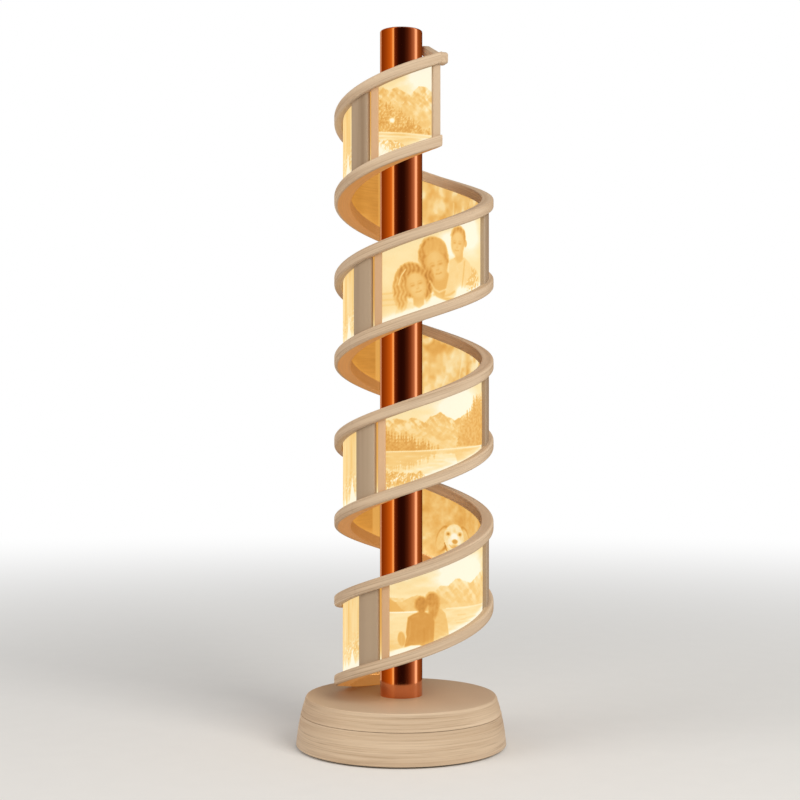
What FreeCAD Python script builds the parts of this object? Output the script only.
import FreeCAD, Part
import math
import os

from FreeCAD import Vector

# A table lamp: a round base with a turntable, a copper tube, and a helical ribbon of lit relief panels.
# Millimetres. Origin under the middle of the base, on the tube's axis. +Z up, the front faces -Y.

# Tube
tube_diameter = 25.0
tube_wall = 1.5
tube_exposed_height = 391.9
tube_cap_thickness = 2.0
tube_cap_plug_depth = 5.0
tube_edge_radius = 1.0

# Base, from the table upwards
foot_projection = 1.0
foot_diameter = 14.0
foot_recess = 1.0
foot_ring_inset = 16.0
cover_thickness = 2.5
cover_clearance = 0.2
motor_clearance = 1.0
motor_height = 12.8
deck_thickness = 2.0
seam_gap = 0.3
cap_thickness = 3.5
base_wall = 3.0
base_bottom_radius = 62.0
base_taper = 5.8
side_bulge = 1.0
base_edge_radius = 0.8

# Bearing and spindle
sleeve_wall = 2.5
bearing_section = 6.0
bearing_width = 7.0
race_wall = 2.1
ball_diameter = 3.1
ball_clearance = 0.05
ball_count = 14
cage_wall = 1.2
cage_height = 4.4
cup_wall = 3.0
cup_lip_thickness = 1.0
cup_lip_overlap = 2.5
clip_thickness = 1.2
clip_groove_depth = 0.8
clip_width = 2.8
clip_opening = 5.0
sleeve_tail = 2.1
sleeve_lip = 1.5
sleeve_lip_thickness = 1.0
shoulder_width = 1.5
flange_width = 5.5
flange_thickness = 2.0

# Drive
gear_module = 0.8
gear_teeth = 68
pinion_teeth = 17
gear_face = 4.0
gear_running_gap = 0.6
pinion_end_gap = 0.4
gear_backlash = 0.12
centre_allowance = 0.15
pressure_angle = 20.0
motor_angle = 180.0
motor_wall_gap = 0.5
motor_offset_share = 0.3
motor_shaft_diameter = 5.0
motor_shaft_depth = 6.0
motor_ear_radius = 3.5
motor_ear_thickness = 1.5
motor_ear_overlap = 0.5
motor_block_width = 6.0
motor_block_depth = 9.0
motor_block_height = 3.2
motor_block_gap = 0.2
running_clearance = 0.05
shaft_hole_clearance = 1.5

# Fasteners
screw_diameter = 2.5
screw_head_diameter = 4.6
screw_head_height = 1.5
boss_diameter = 7.0
boss_ring_inset = 12.0
boss_angle = 45.0
boss_count = 4
cover_screw_reach = 8.0
screw_end_gap = 1.0
hub_screw_count = 4
hub_screw_bite = 2.2
motor_screw_bite = 1.5

# Pieces on the bottom cover
ballast_thickness = 6.0
ballast_inner_radius = 27.0
ballast_wall_gap = 6.0
ballast_start_angle = 205.0
ballast_sweep = 120.0
ballast_boss_gap = 0.6
board_thickness = 1.6
board_length = 32.0
board_width = 24.0
board_wall_gap = 9.0
board_standoff = 4.5
standoff_diameter = 5.0
standoff_inset = 4.0
header_length = 6.0
header_width = 4.0
header_height = 3.0
middle_header_shift = 1.0
chip_length = 9.0
chip_height = 1.4
capacitor_diameter = 6.0
capacitor_height = 6.5
brush_block_length = 19.0
brush_block_width = 10.0
brush_side_gap = 0.45
brush_block_height = 2.5
brush_tip_width = 1.4
brush_gap = 0.1
slip_disc_thickness = 1.6
slip_disc_hole_radius = 4.0
slip_track_radii = (6.5, 9.0, 11.5)

# Power inlet and push button, in the wall at the back
inlet_angle = 90.0
inlet_width = 9.0
inlet_height = 3.2
inlet_shell = 0.35
inlet_length = 12.0
inlet_socket_depth = 9.0
inlet_tongue_width = 6.7
inlet_tongue_height = 0.7
inlet_tongue_length = 7.0
inlet_standoff = 2.4
inlet_board_thickness = 1.2
inlet_board_width = 14.0
inlet_board_length = 18.0
inlet_recess = 0.5
pedestal_width = 2.0
pedestal_margin = 2.0
wall_hole_clearance = 0.1
button_angle = 60.0
button_height = 10.5
button_diameter = 7.6
button_projection = 1.2
button_travel = 1.5
button_flange_width = 1.2
button_flange_thickness = 1.3
button_flange_gap = 0.4
button_stem_diameter = 3.0
switch_width = 8.0
switch_length = 8.0
switch_bore_depth = 6.5
spring_gap = 0.3
spring_length = 4.6
spring_wire_diameter = 0.5
spring_turns = 4.0

# Ribbon: angles are in degrees from the front towards the right and rise with the ribbon
ribbon_offset = 7.5
ribbon_height = 53.3
ribbon_landing_angle = -105.5
ribbon_ease_angle = 45.0
ribbon_start_angle = -165.0
ribbon_end_angle = 1098.0
segment_angle = 119.0
segment_gap = 0.1
rail_height = 6.5
rail_outer_radius = 47.0
upper_rail_depth = 7.2
lower_rail_depth = 9.8
rail_chamfer = 0.7
panel_setback = 4.5
panel_thickness = 1.6
panel_clearance = 0.1
panel_groove_depth = 2.0
post_setback = 2.7
post_depth = 4.1
narrow_post_gap = 0.25
post_bury = 3.0
wide_post_angle = 18.0
slot_angle = 3.0
narrow_post_angle = 6.0
end_post_angle = 6.0
sweep_step = 8.0

# Light strip in the lower rail, and leads
strip_setback = 1.8
strip_width = 1.6
strip_thickness = 1.2
strip_groove_depth = 2.2
strip_margin_angle = 2.0
lead_diameter = 1.2
lead_bend_radius = 3.6
lead_angle = -160.0
cable_diameter = 1.8
bend_share = 0.45
lead_straight = 9.0
lead_lane_angle = 23.0

# Dowels, foot screws and the top arm
dowel_diameter = 2.0
dowel_length = 8.0
dowel_setback = 2.2
dowel_clearance = 0.05
foot_screw_angles = (-159.0, -151.0)
foot_screw_bite = 4.5
arm_width = 5.0
arm_tip_rise = 14.7
arm_tip_drop = 7.3
arm_tip_y = 4.0
arm_saddle_depth = 0.8
arm_dowel_cover = 1.0
arm_pin_diameter = 2.0
arm_pin_bite = 3.2
arm_pin_y = 1.0

# Heights and radii that follow
cover_bottom = foot_projection
cover_top = cover_bottom + cover_thickness
motor_bottom = cover_top + motor_clearance
deck_bottom = motor_bottom + motor_height
seam_height = deck_bottom + deck_thickness
gear_bottom = seam_height + gear_running_gap
gear_top = gear_bottom + gear_face
cap_underside = gear_top + flange_thickness
base_top = cap_underside + cap_thickness
base_top_radius = base_bottom_radius - base_taper
foot_ring_radius = base_bottom_radius - foot_ring_inset
boss_ring_radius = base_bottom_radius - boss_ring_inset
ballast_top = cover_top + ballast_thickness
ballast_outer_radius = base_bottom_radius - base_wall - ballast_wall_gap
board_inner_edge = base_bottom_radius - base_wall - board_wall_gap - board_width
lamp_height = base_top + tube_exposed_height
tube_radius = tube_diameter / 2
sleeve_radius = tube_radius + sleeve_wall
bearing_outer_radius = sleeve_radius + bearing_section
bearing_bottom = seam_height - bearing_width
ball_ring_radius = sleeve_radius + bearing_section / 2
clip_bottom = bearing_bottom - clip_thickness
sleeve_bottom = clip_bottom - sleeve_tail
tube_bottom = sleeve_bottom + sleeve_lip_thickness
shoulder_radius = sleeve_radius + shoulder_width
flange_radius = shoulder_radius + flange_width
hub_screw_radius = (shoulder_radius + flange_radius) / 2
gear_radius = gear_module * gear_teeth / 2
pinion_radius = gear_module * pinion_teeth / 2
shaft_distance = gear_radius + pinion_radius + centre_allowance
slip_disc_radius = sleeve_radius - shoulder_width / 2
brush_top = sleeve_bottom - slip_disc_thickness - brush_gap
brush_tower_start = slip_disc_radius + brush_side_gap
upper_rail_inner_radius = rail_outer_radius - upper_rail_depth
lower_rail_inner_radius = rail_outer_radius - lower_rail_depth
panel_inner_radius = rail_outer_radius - panel_setback - panel_thickness
post_outer_radius = rail_outer_radius - post_setback
post_inner_radius = post_outer_radius - post_depth
strip_centre_radius = lower_rail_inner_radius + strip_setback
dowel_radius = rail_outer_radius - dowel_setback
arm_tip_top = lamp_height - arm_tip_drop
ribbon_rise = arm_tip_top - arm_tip_rise - ribbon_height - base_top
slope = ribbon_rise / (ribbon_end_angle - ribbon_landing_angle)
segment_count = math.ceil((ribbon_end_angle - ribbon_start_angle) / segment_angle)
groove_inner_radius = panel_inner_radius - panel_clearance
groove_outer_radius = panel_inner_radius + panel_thickness + panel_clearance
strip_groove_half = strip_width / 2 + panel_clearance
screw_radius = screw_diameter / 2
lead_channel_radius = lead_diameter / 2 + dowel_clearance

# How far a cutting tool runs past the face that it cuts
past = 1.0

up = Vector(0, 0, 1)


# Simple shapes

def cylinder(radius, bottom, top, x=0.0, y=0.0):
    return Part.makeCylinder(radius, top - bottom, Vector(x, y, bottom))


def ring(outer, inner, bottom, top, x=0.0, y=0.0):
    return cylinder(outer, bottom, top, x, y).cut(cylinder(inner, bottom - past, top + past, x, y))


def block(x0, x1, y0, y1, z0, z1):
    return Part.makeBox(x1 - x0, y1 - y0, z1 - z0, Vector(x0, y0, z0))


def turned(points):
    corners = [Vector(r, 0, z) for r, z in points]
    outline = Part.makePolygon(corners + [corners[0]])
    return Part.Face(outline).revolve(Vector(), up, 360)


def polar(radius, angle, height=0.0):
    a = math.radians(angle)
    return Vector(radius * math.cos(a), radius * math.sin(a), height)


def spun(shape, angle):
    copy = shape.copy()
    copy.rotate(Vector(), up, angle)
    return copy


def fused(shapes):
    return shapes[0].multiFuse(shapes[1:]).removeSplitter()


def rounded_slot(width, height, x0, x1, z):
    # A bar along X whose section is a flat oval standing on its long side
    half = width / 2 - height / 2
    bar = block(x0, x1, -half, half, z - height / 2, z + height / 2)
    ends = [Part.makeCylinder(height / 2, x1 - x0, Vector(x0, y, z), Vector(1, 0, 0)) for y in (-half, half)]
    return fused([bar] + ends)


def screw(top, bite, x, y):
    # A pan head screw driven upwards, its head's seat at the height top
    shank = cylinder(screw_radius, top, top + bite, x, y)
    head = cylinder(screw_head_diameter / 2, top - screw_head_height, top, x, y)
    return shank.fuse(head).removeSplitter()


# The base's tapered side

def side_radius(z):
    t = (z - cover_bottom) / (base_top - cover_bottom)
    straight = base_bottom_radius + (base_top_radius - base_bottom_radius) * t
    return straight + 4 * side_bulge * t * (1 - t)


# The motor fills the room between its shaft and the wall
motor_reach = side_radius(deck_bottom) - base_wall - motor_wall_gap
motor_diameter = (motor_reach - shaft_distance) / (motor_offset_share + 1 / 2)
motor_distance = motor_reach - motor_diameter / 2
motor_ear_reach = motor_diameter / 2 + motor_ear_radius - motor_ear_overlap


def tapered_disc(bottom, top, inset=0.0):
    levels = (bottom, (bottom + top) / 2, top)
    low, middle, high = [Vector(side_radius(z) - inset, 0, z) for z in levels]
    side = Part.Arc(low, middle, high).toShape()
    axis_top = Vector(0, 0, top)
    axis_bottom = Vector(0, 0, bottom)
    ends = [Part.makeLine(high, axis_top), Part.makeLine(axis_bottom, low)]
    axis = Part.makeLine(axis_top, axis_bottom)
    return Part.Face(Part.Wire([side, ends[0], axis, ends[1]])).revolve(Vector(), up, 360)


def rim_rounded(shape, height, radius):
    # The rim is the widest edge that lies flat at this height
    flat = [e for e in shape.Edges if e.BoundBox.ZLength < 0.01 and abs(e.BoundBox.ZMin - height) < 0.01]
    widest = max(e.BoundBox.XLength for e in flat)
    rims = [e for e in flat if e.BoundBox.XLength > widest - 0.1]
    return shape.makeFillet(radius, rims)


# Ribbon geometry

def rail_bottom(angle):
    # A helix that eases to the level of the base where it lands
    straight = base_top + slope * (angle - ribbon_landing_angle)
    ease_start = ribbon_landing_angle - ribbon_ease_angle
    ease_end = ribbon_landing_angle + ribbon_ease_angle
    if angle >= ease_end:
        return straight
    if angle <= ease_start:
        return base_top
    return base_top + slope * (angle - ease_start) ** 2 / (4 * ribbon_ease_angle)


def ribbon_point(radius, angle, height):
    a = math.radians(angle)
    return Vector(ribbon_offset + radius * math.sin(a), -radius * math.cos(a), rail_bottom(angle) + height)


def ribbon_tangent(radius, angle):
    a = math.radians(angle)
    rise = math.degrees(slope) / radius
    return Vector(math.cos(a), math.sin(a), rise).normalize()


def ribbon_sweep(section, start, end):
    # A solid whose section, a list of radius and height, follows the ribbon between two angles
    count = max(3, math.ceil((end - start) / sweep_step))
    angles = [start + (end - start) * i / count for i in range(count + 1)]
    edges = []
    for radius, height in section:
        curve = Part.BSplineCurve()
        curve.interpolate([ribbon_point(radius, angle, height) for angle in angles])
        edges.append(curve.toShape())
    faces = [Part.makeRuledSurface(edges[i - 1], edges[i]) for i in range(len(edges))]
    for angle in (start, end):
        corners = [ribbon_point(radius, angle, height) for radius, height in section]
        faces.append(Part.Face(Part.makePolygon(corners + [corners[0]])))
    shell = Part.makeShell(faces)
    shell.sewShape()
    solid = Part.makeSolid(shell)
    if solid.Volume < 0:
        solid.reverse()
    return solid


def bar_section(inner, outer, low, high):
    return [(inner, low), (outer, low), (outer, high), (inner, high)]


def screwed_up(shape, turns_angle):
    # A copy moved along the helix by an angle
    copy = shape.copy()
    copy.rotate(Vector(ribbon_offset, 0, 0), up, turns_angle)
    copy.translate(Vector(0, 0, slope * turns_angle))
    return copy


def lower_rail_section():
    c = rail_chamfer
    inner, outer, top = lower_rail_inner_radius, rail_outer_radius, rail_height
    strip_inner = strip_centre_radius - strip_groove_half
    strip_outer = strip_centre_radius + strip_groove_half
    strip_floor, panel_floor = top - strip_groove_depth, top - panel_groove_depth
    bottom_side = [(inner, c), (inner + c, 0), (outer - c, 0), (outer, c), (outer, top - c), (outer - c, top)]
    panel_slot = [(groove_outer_radius, top), (groove_outer_radius, panel_floor),
                  (groove_inner_radius, panel_floor), (groove_inner_radius, top)]
    strip_slot = [(strip_outer, top), (strip_outer, strip_floor),
                  (strip_inner, strip_floor), (strip_inner, top)]
    return bottom_side + panel_slot + strip_slot + [(inner, top)]


def upper_rail_section():
    c = rail_chamfer
    inner, outer = upper_rail_inner_radius, rail_outer_radius
    top = ribbon_height
    bottom = top - rail_height
    floor = bottom + panel_groove_depth
    slot = [(groove_inner_radius, bottom), (groove_inner_radius, floor),
            (groove_outer_radius, floor), (groove_outer_radius, bottom)]
    outside = [(outer - c, bottom), (outer, bottom + c), (outer, top - c), (outer - c, top)]
    return [(inner, bottom)] + slot + outside + [(inner + c, top), (inner, top - c)]


def segment_start(index):
    return ribbon_start_angle + segment_angle * index


def joint_gap_angle():
    return math.degrees(segment_gap / rail_outer_radius)


def segment_end(index):
    return min(segment_start(index + 1) - joint_gap_angle(), ribbon_end_angle)


def has_end_post(index):
    return index == segment_count - 1


def dowel(angle, height, before, after, radius):
    centre = ribbon_point(dowel_radius, angle, height)
    along = ribbon_tangent(dowel_radius, angle)
    return Part.makeCylinder(radius, before + after, centre - along * before, along)


dowel_heights = (rail_height / 2, ribbon_height - rail_height / 2)


def dowel_holes(index):
    half = dowel_length / 2 + dowel_clearance
    radius = dowel_diameter / 2 + dowel_clearance
    joints = []
    if index > 0:
        joints += [(segment_start(index), height) for height in dowel_heights]
    if not has_end_post(index):
        joints += [(segment_start(index + 1), height) for height in dowel_heights]
    else:
        joints += [(ribbon_end_angle, dowel_heights[1])]
    return [dowel(angle, height, half, half, radius) for angle, height in joints]


def frame_segment(index):
    start, end = segment_start(index), segment_end(index)
    low, high = post_bury, ribbon_height - post_bury
    slot_end = start + wide_post_angle + slot_angle
    wide = bar_section(post_inner_radius, post_outer_radius, low, high)
    narrow = bar_section(groove_outer_radius + narrow_post_gap, post_outer_radius, low, high)
    pieces = [
        ribbon_sweep(lower_rail_section(), start, end),
        ribbon_sweep(upper_rail_section(), start, end),
        ribbon_sweep(wide, start, start + wide_post_angle),
        ribbon_sweep(narrow, slot_end, slot_end + narrow_post_angle),
    ]
    if has_end_post(index):
        pieces.append(ribbon_sweep(wide, end - end_post_angle, end))
    body = fused(pieces)
    holes = dowel_holes(index)
    if index == 0:
        holes += foot_screw_holes()
        holes.append(led_lead_route(lead_channel_radius))
    return body.cut(Part.makeCompound(holes))


def litho_panel(index):
    low = rail_height - panel_groove_depth + panel_clearance
    high = ribbon_height - low
    start = segment_start(index) + wide_post_angle + joint_gap_angle()
    end = segment_end(index) - joint_gap_angle()
    if has_end_post(index):
        end -= end_post_angle
    section = bar_section(panel_inner_radius, panel_inner_radius + panel_thickness, low, high)
    return ribbon_sweep(section, start, end)


def led_strip():
    low = rail_height - strip_groove_depth
    half = strip_width / 2
    section = bar_section(strip_centre_radius - half, strip_centre_radius + half, low, low + strip_thickness)
    return ribbon_sweep(section, lead_angle - strip_margin_angle, ribbon_end_angle - strip_margin_angle)


def rail_dowels():
    half = dowel_length / 2
    pins = [dowel(segment_start(i), height, half, half, dowel_diameter / 2)
            for i in range(1, segment_count) for height in dowel_heights]
    reach = arm_width - segment_gap - arm_dowel_cover
    pins.append(dowel(ribbon_end_angle, dowel_heights[1], half, reach, dowel_diameter / 2))
    return Part.makeCompound(pins)


# Foot screws, from under the turntable cap into the ribbon's landing

def foot_screw_places():
    return [ribbon_point(dowel_radius, angle, 0) for angle in foot_screw_angles]


def foot_screw_holes():
    top = base_top + foot_screw_bite
    return [cylinder(screw_radius, cap_underside - past, top, p.x, p.y) for p in foot_screw_places()]


def foot_screws():
    bite = cap_thickness + foot_screw_bite
    return Part.makeCompound([screw(cap_underside, bite, p.x, p.y) for p in foot_screw_places()])


# Leads

def cable(points, radius, bend_radius=None):
    # A round cable along straight runs joined by tangent arcs
    edges = []
    last = points[0]
    for before, corner, after in zip(points, points[1:], points[2:]):
        arriving, leaving = corner - before, after - corner
        turn = arriving.getAngle(leaving)
        shorter = min(arriving.Length, leaving.Length)
        bend = bend_radius or bend_share * shorter / math.tan(turn / 2)
        reach = bend * math.tan(turn / 2)
        first = corner - arriving.normalize() * reach
        second = corner + leaving.normalize() * reach
        inward = (leaving - arriving).normalize()
        middle = corner + inward * (bend / math.cos(turn / 2) - bend)
        edges.append(Part.makeLine(last, first))
        edges.append(Part.Arc(first, middle, second).toShape())
        last = second
        print("bend radius", round(bend, 2), "turn", round(math.degrees(turn), 1))
    edges.append(Part.makeLine(last, points[-1]))
    path = Part.Wire(edges)
    direction = (points[1] - points[0]).normalize()
    profile = Part.Wire(Part.makeCircle(radius, points[0], direction))
    tube = path.makePipeShell([profile], True, True)
    share = tube.Volume / (math.pi * radius ** 2 * path.Length)
    print("cable length", round(path.Length, 1), "volume share", round(share, 4))
    return tube


def led_lead_route(radius, bottom=None):
    # From the slip ring disc up beside the tube, out under the cap's plate and up to the light strip
    end = ribbon_point(strip_centre_radius, lead_angle, rail_height - strip_groove_depth)
    outward = Vector(end.x, end.y, 0).normalize()
    inner_radius = tube_radius + lead_diameter / 2 + dowel_clearance
    level = cap_underside + lead_diameter / 2 + dowel_clearance
    start = outward * inner_radius + up * (sleeve_bottom if bottom is None else bottom)
    points = [start, outward * inner_radius + up * level, Vector(end.x, end.y, level), end]
    return cable(points, radius, lead_bend_radius)


def led_lead():
    return led_lead_route(lead_diameter / 2)


# Turntable

def turntable_cap():
    bottom = seam_height + seam_gap
    outer = tapered_disc(bottom, base_top)
    outer = rim_rounded(outer, base_top, base_edge_radius)
    hollow = tapered_disc(bottom - past, cap_underside, base_wall)
    cap = outer.cut(hollow).cut(cylinder(tube_radius, cap_underside - past, base_top + past))
    low, high = cap_underside - past, base_top + past
    holes = [cylinder(screw_radius, low, high, p.x, p.y) for p in foot_screw_places()]
    holes += hub_screw_shanks()
    holes.append(led_lead_route(lead_channel_radius))
    return cap.cut(Part.makeCompound(holes))


def hub_screw_places():
    offset = 180 / hub_screw_count
    return [polar(hub_screw_radius, offset + 360 * i / hub_screw_count) for i in range(hub_screw_count)]


def hub_screw_seat():
    return gear_bottom + screw_head_height


def hub_screw_shanks():
    top = cap_underside + hub_screw_bite
    return [cylinder(screw_radius, hub_screw_seat(), top, p.x, p.y) for p in hub_screw_places()]


def hub_screws():
    bite = cap_underside + hub_screw_bite - hub_screw_seat()
    return Part.makeCompound([screw(hub_screw_seat(), bite, p.x, p.y) for p in hub_screw_places()])


def spindle_sleeve():
    groove = sleeve_radius - clip_groove_depth
    lip = tube_radius - sleeve_lip
    lower = [(lip, sleeve_bottom), (sleeve_radius, sleeve_bottom), (sleeve_radius, clip_bottom)]
    clip_seat = [(groove, clip_bottom), (groove, bearing_bottom), (sleeve_radius, bearing_bottom)]
    shoulder = [(sleeve_radius, seam_height), (shoulder_radius, seam_height), (shoulder_radius, gear_top)]
    flange = [(flange_radius, gear_top), (flange_radius, cap_underside), (tube_radius, cap_underside)]
    sleeve = turned(lower + clip_seat + shoulder + flange + [(tube_radius, tube_bottom), (lip, tube_bottom)])
    holes = hub_screw_shanks() + [led_lead_route(lead_channel_radius, sleeve_bottom - past)]
    return sleeve.cut(Part.makeCompound(holes))


def retaining_clip():
    inner = sleeve_radius - clip_groove_depth
    clip = ring(inner + clip_width, inner, clip_bottom, bearing_bottom)
    half = clip_opening / 2
    opening = block(0, 2 * inner, -half, half, clip_bottom - past, bearing_bottom + past)
    return clip.cut(opening)


def slip_ring_disc():
    return ring(slip_disc_radius, slip_disc_hole_radius, sleeve_bottom - slip_disc_thickness, sleeve_bottom)


def center_tube():
    top = lamp_height - tube_cap_thickness
    return ring(tube_radius, tube_radius - tube_wall, tube_bottom, top).cut(arm_pin())


def tube_cap():
    seat = lamp_height - tube_cap_thickness
    top = cylinder(tube_radius, seat, lamp_height)
    rims = [e for e in top.Edges if e.BoundBox.ZMin > lamp_height - 0.01]
    top = top.makeFillet(tube_edge_radius, rims)
    plug = cylinder(tube_radius - tube_wall, seat - tube_cap_plug_depth, seat)
    return top.fuse(plug).removeSplitter()


# Top arm, from the end of the upper rail to the tube

def arm_sections():
    a = math.radians(ribbon_end_angle)
    tangent = Vector(math.cos(a), math.sin(a), 0)
    level = ribbon_height - rail_height / 2
    shift = tangent * (arm_width / 2)
    outer = ribbon_point(rail_outer_radius, ribbon_end_angle, level) + shift
    inner = ribbon_point(upper_rail_inner_radius, ribbon_end_angle, level) + shift
    tip_x = tube_radius + arm_width / 2 - arm_saddle_depth
    tip = Vector(tip_x, arm_tip_y, arm_tip_top - rail_height / 2)
    along = Vector(tip.x - inner.x, tip.y - inner.y, 0).normalize()
    across = Vector(along.y, -along.x, 0)
    return [(outer, tangent), (inner, tangent), (tip, across)]


def top_arm():
    wires = []
    for centre, across in arm_sections():
        side, rise = across * (arm_width / 2), up * (rail_height / 2)
        corners = [centre - side - rise, centre + side - rise, centre + side + rise, centre - side + rise]
        wires.append(Part.makePolygon(corners + [corners[0]]))
    bar = Part.makeLoft(wires, True, True)
    bar = bar.cut(cylinder(tube_radius, base_top, lamp_height))
    half = dowel_length / 2
    reach = arm_width - segment_gap - arm_dowel_cover + dowel_clearance
    hole = dowel(ribbon_end_angle, dowel_heights[1], half, reach, dowel_diameter / 2 + dowel_clearance)
    return bar.cut(Part.makeCompound([hole, arm_pin()]))


def arm_pin():
    outer, inner, tip = [centre for centre, across in arm_sections()]
    share = (arm_pin_y - inner.y) / (tip.y - inner.y)
    level = inner.z + (tip.z - inner.z) * share
    start = Vector(tube_radius - tube_wall, arm_pin_y, level)
    return Part.makeCylinder(arm_pin_diameter / 2, tube_wall + arm_pin_bite, start, Vector(1, 0, 0))


# Bearing

def ball_groove():
    return Part.makeTorus(ball_ring_radius, ball_diameter / 2 + ball_clearance,
                          Vector(0, 0, bearing_bottom + bearing_width / 2))


def bearing_inner_race():
    return ring(sleeve_radius + race_wall, sleeve_radius, bearing_bottom, seam_height).cut(ball_groove())


def bearing_outer_race():
    inner = bearing_outer_radius - race_wall
    return ring(bearing_outer_radius, inner, bearing_bottom, seam_height).cut(ball_groove())


def bearing_balls():
    level = bearing_bottom + bearing_width / 2
    places = [polar(ball_ring_radius, 360 * i / ball_count, level) for i in range(ball_count)]
    return Part.makeCompound([Part.makeSphere(ball_diameter / 2, place) for place in places])


def bearing_cage():
    middle = bearing_bottom + bearing_width / 2
    half = cage_height / 2
    outer = ball_ring_radius + cage_wall / 2
    cage = ring(outer, outer - cage_wall, middle - half, middle + half)
    pocket = Part.makeCylinder(ball_diameter / 2 + ball_clearance, 2 * cage_wall,
                               Vector(ball_ring_radius - cage_wall, 0, middle), Vector(1, 0, 0))
    return cage.cut(Part.makeCompound([spun(pocket, 360 * i / ball_count) for i in range(ball_count)]))


# Gears

def gear_outline(teeth):
    # The first tooth points along X
    pitch = gear_module * teeth / 2
    base = pitch * math.cos(math.radians(pressure_angle))
    tip, root = pitch + gear_module, pitch - 1.25 * gear_module
    flank_radii = [max(base, root) + (tip - max(base, root)) * i / 3 for i in range(4)]
    half_at_pitch = math.pi / (2 * teeth) - gear_backlash / (2 * pitch)

    def involute(radius):
        angle = math.acos(min(1.0, base / radius))
        return math.tan(angle) - angle

    points = []
    for tooth in range(teeth):
        centre = 2 * math.pi * tooth / teeth
        halves = [half_at_pitch + involute(pitch) - involute(r) for r in flank_radii]
        rising = [(r, centre - h) for r, h in zip(flank_radii, halves)]
        falling = [(r, centre + h) for r, h in zip(reversed(flank_radii), reversed(halves))]
        flank = [(root, rising[0][1])] + rising + falling + [(root, falling[-1][1])]
        if root >= base:
            flank = flank[1:-1]
        points += flank
    return [Vector(r * math.cos(a), r * math.sin(a), 0) for r, a in points]


def gear_solid(teeth, bore, bottom, top):
    corners = gear_outline(teeth)
    face = Part.Face(Part.makePolygon(corners + [corners[0]]))
    body = face.extrude(up * (top - bottom))
    body.translate(up * bottom)
    return body.cut(cylinder(bore, bottom - past, top + past))


def drive_gear():
    gear = spun(gear_solid(gear_teeth, shoulder_radius, gear_bottom, gear_top), motor_angle)
    seats = [cylinder(screw_head_diameter / 2, gear_bottom - past, hub_screw_seat(), p.x, p.y)
             for p in hub_screw_places()]
    return gear.cut(Part.makeCompound(seats + hub_screw_shanks()))


def motor_pinion():
    bottom, top = seam_height + pinion_end_gap, gear_top - pinion_end_gap
    pinion = gear_solid(pinion_teeth, motor_shaft_diameter / 2, bottom, top)
    # An odd number of teeth has a gap opposite each tooth, and an even number is turned by half a tooth
    if pinion_teeth % 2 == 0:
        pinion = spun(pinion, 180 / pinion_teeth)
    pinion.translate(Vector(shaft_distance, 0, 0))
    return spun(pinion, motor_angle)


def motor_shaft():
    place = polar(shaft_distance, motor_angle)
    return cylinder(motor_shaft_diameter / 2, deck_bottom - motor_shaft_depth, gear_top - pinion_end_gap,
                    place.x, place.y)


# Motor, drawn on the right and then turned into place

def motor_ear_places():
    return [(motor_distance, side * motor_ear_reach) for side in (-1, 1)]


def motor_screw_seat():
    return deck_bottom - motor_ear_thickness


def motor_block_box():
    x1 = motor_distance - motor_diameter / 4
    y0 = motor_diameter / 4
    z0 = ballast_top + motor_block_gap
    return x1 - motor_block_width, x1, y0, y0 + motor_block_depth, z0, z0 + motor_block_height


def gear_motor():
    can = cylinder(motor_diameter / 2, motor_bottom, deck_bottom, motor_distance, 0)
    bridge = block(motor_distance - motor_ear_radius, motor_distance + motor_ear_radius,
                   -motor_ear_reach, motor_ear_reach, motor_screw_seat(), deck_bottom)
    ears = [cylinder(motor_ear_radius, motor_screw_seat(), deck_bottom, x, y) for x, y in motor_ear_places()]
    body = fused([can, bridge, block(*motor_block_box())] + ears)
    bore_radius = motor_shaft_diameter / 2 + running_clearance
    bore_floor = deck_bottom - motor_shaft_depth - running_clearance
    bore = cylinder(bore_radius, bore_floor, deck_bottom + past, shaft_distance, 0)
    holes = [cylinder(screw_radius, motor_screw_seat() - past, deck_bottom + past, x, y)
             for x, y in motor_ear_places()]
    return spun(body.cut(Part.makeCompound([bore] + holes)), motor_angle)


def motor_screws():
    bite = motor_ear_thickness + motor_screw_bite
    screws = [screw(motor_screw_seat(), bite, x, y) for x, y in motor_ear_places()]
    return spun(Part.makeCompound(screws), motor_angle)


# Fixed part of the base

def boss_places(radius=boss_ring_radius):
    return [polar(radius, boss_angle + 360 * i / boss_count) for i in range(boss_count)]


def base_housing():
    outer = tapered_disc(cover_bottom, seam_height)
    outer = rim_rounded(outer, cover_bottom, base_edge_radius)
    body = outer.cut(tapered_disc(cover_bottom - past, deck_bottom, base_wall))
    cup_radius = bearing_outer_radius + cup_wall
    cup = cylinder(cup_radius, bearing_bottom - cup_lip_thickness, seam_height)
    bosses = [cylinder(boss_diameter / 2, cover_top, deck_bottom, p.x, p.y) for p in boss_places()]
    body = fused([body, cup] + bosses)
    shaft = polar(shaft_distance, motor_angle)
    shaft_hole = motor_shaft_diameter / 2 + shaft_hole_clearance
    lip_radius = bearing_outer_radius - cup_lip_overlap
    openings = [
        cylinder(bearing_outer_radius, bearing_bottom, seam_height + past),
        cylinder(lip_radius, bearing_bottom - cup_lip_thickness - past, bearing_bottom + past),
        cylinder(shaft_hole, deck_bottom - past, seam_height + past, shaft.x, shaft.y),
        spun(inlet_opening(), inlet_angle),
        spun(button_opening(), button_angle),
    ]
    screw_top = cover_top + cover_screw_reach
    openings += [cylinder(screw_radius, cover_top - past, screw_top, p.x, p.y) for p in boss_places()]
    bite_top = deck_bottom + motor_screw_bite
    openings += [spun(cylinder(screw_radius, deck_bottom - past, bite_top, x, y), motor_angle)
                 for x, y in motor_ear_places()]
    return body.cut(Part.makeCompound(openings))


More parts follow.
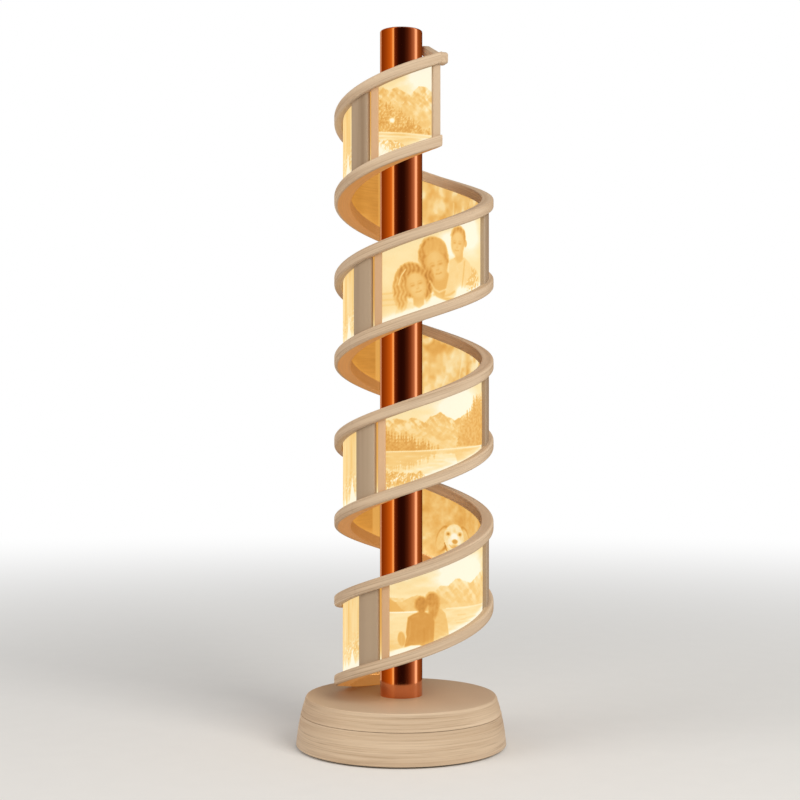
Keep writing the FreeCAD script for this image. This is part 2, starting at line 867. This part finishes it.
def inlet_opening():
    margin = 2 * wall_hole_clearance
    outside = side_radius(inlet_level()) + past
    start = inlet_face() - inlet_length
    return rounded_slot(inlet_width + margin, inlet_height + margin, start, outside, inlet_level())


def button_opening():
    outside = side_radius(button_height) + past
    return along_wall(button_diameter / 2 + wall_hole_clearance, button_flange_face() - past, outside)


def bottom_cover():
    cover = tapered_disc(cover_bottom, cover_top, base_wall + cover_clearance)
    recesses = [cylinder(foot_diameter / 2, cover_bottom - past, cover_bottom + foot_recess, p.x, p.y)
                for p in foot_places()]
    head_radius = screw_head_diameter / 2 + wall_hole_clearance
    head_top = cover_bottom + screw_head_height
    heads = [cylinder(head_radius, cover_bottom - past, head_top, p.x, p.y) for p in boss_places()]
    holes = [cylinder(screw_radius, cover_bottom - past, cover_top + past, p.x, p.y) for p in boss_places()]
    cover = cover.cut(Part.makeCompound(recesses + heads + holes))
    posts = [cylinder(standoff_diameter / 2, cover_top, board_bottom(), x, y) for x, y in board_standoffs()]
    posts.append(spun(inlet_pedestal(), inlet_angle))
    return fused([cover] + posts)


def foot_places():
    return boss_places_between(foot_ring_radius)


def boss_places_between(radius):
    return [polar(radius, boss_angle + 360 * (i + 0.5) / boss_count) for i in range(boss_count)]


def rubber_feet():
    feet = []
    for p in foot_places():
        feet.append(cylinder(foot_diameter / 2, 0, cover_bottom + foot_recess, p.x, p.y))
    return Part.makeCompound(feet)


def cover_screws():
    seat = cover_bottom + screw_head_height
    bite = cover_top + cover_screw_reach - screw_end_gap - seat
    return Part.makeCompound([screw(seat, bite, p.x, p.y) for p in boss_places()])


def ballast_plate():
    plate = ring(ballast_outer_radius, ballast_inner_radius, cover_top, ballast_top)
    reach = 2 * ballast_outer_radius
    wedge = Part.makeCylinder(reach, ballast_thickness, Vector(0, 0, cover_top), up, ballast_sweep)
    plate = plate.common(spun(wedge, ballast_start_angle))
    gap = boss_diameter / 2 + ballast_boss_gap
    clear = [cylinder(gap, cover_top - past, ballast_top + past, p.x, p.y) for p in boss_places()]
    return plate.cut(Part.makeCompound(clear))


# Control board, to the right of the bearing

def board_bottom():
    return cover_top + board_standoff


def board_top():
    return board_bottom() + board_thickness


def board_standoffs():
    x_places = (board_inner_edge + standoff_inset, board_inner_edge + board_width - standoff_inset)
    y_reach = board_length / 2 - standoff_inset
    return [(x, y) for x in x_places for y in (-y_reach, y_reach)]


def header(x, y, bottom):
    return block(x - header_width / 2, x + header_width / 2, y - header_length / 2, y + header_length / 2,
                 bottom, bottom + header_height)


def side_header_y():
    return board_length / 2 - header_length / 2


def header_x():
    return board_inner_edge + header_width


def middle_header_x():
    return header_x() - header_width / 2 + middle_header_shift


def control_board():
    half = board_length / 2
    outer = board_inner_edge + board_width
    middle = board_inner_edge + board_width / 2
    plate = block(board_inner_edge, outer, -half, half, board_bottom(), board_top())
    headers = [header(header_x(), side * side_header_y(), board_top()) for side in (-1, 1)]
    headers.append(header(middle_header_x(), 0, board_bottom() - header_height))
    chip_half, chip_top = chip_length / 2, board_top() + chip_height
    chip = block(middle, middle + chip_length, -chip_half, chip_half, board_top(), chip_top)
    capacitor = cylinder(capacitor_diameter / 2, board_top(), board_top() + capacitor_height,
                         outer - capacitor_diameter, half - capacitor_diameter)
    return fused([plate, chip, capacitor] + headers)


# Slip ring brushes

def brush_block():
    half = brush_block_width / 2
    low = cover_top + brush_block_height
    length = brush_block_length
    body = block(0, length, -half, half, cover_top, low)
    tower = block(brush_tower_start, length, -half, half, cover_top, brush_tower_top())
    tips = [cylinder(brush_tip_width / 2, low, brush_top, r, 0) for r in slip_track_radii]
    return fused([body, tower] + tips)


def brush_tower_top():
    return board_bottom() - brush_gap


# Leads inside the base

def brush_lead():
    level = board_bottom() - header_height / 2
    length = middle_header_x() - header_width / 2 - brush_block_length
    start = Vector(brush_block_length, 0, level)
    return Part.makeCylinder(cable_diameter / 2, length, start, Vector(1, 0, 0))


def motor_lead():
    # From the board's front header over the ballast to the motor
    x0, x1, y0, y1, z0, z1 = motor_block_box()
    goal = spun(Part.Vertex((x0 + x1) / 2, y1, (z0 + z1) / 2), motor_angle).Vertexes[0].Point
    start = Vector(header_x(), -board_length / 2, board_top() + header_height / 2)
    level = max(goal.z, ballast_top + cable_diameter)
    lane = (ballast_inner_radius + ballast_outer_radius) / 2
    outward = Vector(0, -lead_straight, 0)
    over = [polar(lane, -90 + side * lead_lane_angle, level) for side in (1, -1)]
    points = [start, start + outward] + over + [Vector(goal.x, goal.y - lead_straight, level), goal]
    return cable(points, cable_diameter / 2)


def inlet_lead():
    # From the inlet's board to the control board's rear header
    start = spun(Part.Vertex(inlet_board_start(), 0, inlet_level()), inlet_angle).Vertexes[0].Point
    end = Vector(header_x(), board_length / 2, board_top() + header_height / 2)
    straight = Vector(0, lead_straight, 0)
    return cable([start, start - straight, end + straight, end], cable_diameter / 2)


# Power inlet, drawn on the right and then turned to the back

def inlet_level():
    return cover_top + inlet_standoff + inlet_board_thickness + inlet_height / 2


def inlet_face():
    return side_radius(inlet_level()) - inlet_recess


def inlet_board_start():
    return inlet_face() - base_wall - inlet_recess - inlet_board_length


def inlet_pedestal():
    # Two bars under the inlet's board
    half = inlet_board_width / 2
    start = inlet_board_start() + pedestal_margin
    end = start + inlet_board_length - 2 * pedestal_margin
    top = cover_top + inlet_standoff
    bars = [block(start, end, y, y + pedestal_width, cover_top, top) for y in (-half, half - pedestal_width)]
    return Part.makeCompound(bars)


def power_inlet():
    level, face = inlet_level(), inlet_face()
    shell = rounded_slot(inlet_width, inlet_height, face - inlet_length, face, level)
    socket = rounded_slot(inlet_width - 2 * inlet_shell, inlet_height - 2 * inlet_shell,
                          face - inlet_socket_depth, face + past, level)
    half_tongue = inlet_tongue_width / 2
    floor = face - inlet_socket_depth
    rise = inlet_tongue_height / 2
    tip = floor + inlet_tongue_length
    tongue = block(floor - past, tip, -half_tongue, half_tongue, level - rise, level + rise)
    half = inlet_board_width / 2
    start = inlet_board_start()
    bottom = cover_top + inlet_standoff
    plate = block(start, start + inlet_board_length, -half, half, bottom, bottom + inlet_board_thickness)
    head = block(start, start + header_width, -header_length / 2, header_length / 2,
                 bottom + inlet_board_thickness, bottom + inlet_board_thickness + header_height)
    return spun(fused([shell.cut(socket), tongue, plate, head]), inlet_angle)


# Push button, drawn on the right and then turned to its place

def along_wall(radius, x0, x1, height=button_height):
    return Part.makeCylinder(radius, x1 - x0, Vector(x0, 0, height), Vector(1, 0, 0))


def button_flange_face():
    # The wall's inner face is nearest the axis at the flange's edge
    reach = button_diameter / 2 + button_flange_width
    inner = side_radius(button_height + reach) - base_wall
    return math.sqrt(inner ** 2 - reach ** 2) - button_flange_gap


def button_flange_back():
    return button_flange_face() - button_flange_thickness


def switch_face():
    return button_flange_back() - spring_length


def power_button():
    face = side_radius(button_height) + button_projection
    cap = along_wall(button_diameter / 2, button_flange_back(), face)
    rims = [e for e in cap.Edges if e.BoundBox.XMin > face - 0.01]
    cap = cap.makeFillet(base_edge_radius, rims)
    flange_edge = button_diameter / 2 + button_flange_width
    flange = along_wall(flange_edge, button_flange_back(), button_flange_face())
    stem_end = switch_face() - switch_bore_depth + button_travel + spring_gap
    stem = along_wall(button_stem_diameter / 2, stem_end, button_flange_back())
    return spun(fused([cap, flange, stem]), button_angle)


def switch_body():
    half = switch_width / 2
    face = switch_face()
    body = block(face - switch_length, face, -half, half, cover_top, button_height + half)
    bore = along_wall(button_stem_diameter / 2 + wall_hole_clearance, face - switch_bore_depth, face + past)
    return spun(body.cut(bore), button_angle)


def button_spring():
    radius = button_stem_diameter / 2 + spring_gap + spring_wire_diameter
    length = spring_length - 2 * spring_gap - spring_wire_diameter
    helix = Part.makeHelix(length / spring_turns, length, radius)
    wire_radius = spring_wire_diameter / 2
    rise = length / spring_turns / (2 * math.pi * radius)
    profile = Part.Wire(Part.makeCircle(wire_radius, Vector(radius, 0, 0), Vector(0, 1, rise)))
    coil = Part.Wire(helix).makePipeShell([profile], True, True)
    coil.rotate(Vector(), Vector(0, 1, 0), 90)
    coil.translate(Vector(switch_face() + spring_gap + wire_radius, 0, button_height))
    print("spring gap to itself", round(length / spring_turns - spring_wire_diameter, 2))
    return spun(coil, button_angle)


# All pieces

single_pieces = [
    base_housing, bottom_cover, cover_screws, rubber_feet, ballast_plate,
    gear_motor, motor_screws, motor_shaft, motor_pinion, control_board,
    power_inlet, power_button, button_spring, switch_body,
    bearing_outer_race, bearing_inner_race, bearing_balls, bearing_cage,
    brush_block, brush_lead, motor_lead, inlet_lead,
    turntable_cap, spindle_sleeve, drive_gear, retaining_clip, slip_ring_disc, hub_screws, foot_screws,
    center_tube, tube_cap, top_arm, arm_pin, led_strip, led_lead, rail_dowels,
]


def export(name, shape):
    if not shape.isValid():
        print("invalid shape", name)
    shape.exportStep("parts/" + name + ".step")
    print(name, "solids", len(shape.Solids), "volume", round(shape.Volume, 1))


def build():
    os.makedirs("parts", exist_ok=True)
    for make in single_pieces:
        export(make.__name__, make())
    # The segments and panels above the eased one are copies of the second, moved along the helix
    second = {"frame_segment": frame_segment(1), "litho_panel": litho_panel(1)}
    makers = {"frame_segment": frame_segment, "litho_panel": litho_panel}
    for index in range(segment_count):
        for kind, make in makers.items():
            if index == 0 or has_end_post(index):
                shape = make(index)
            else:
                shape = screwed_up(second[kind], segment_angle * (index - 1))
            export(f"{kind}_{index + 1:02d}", shape)


build()
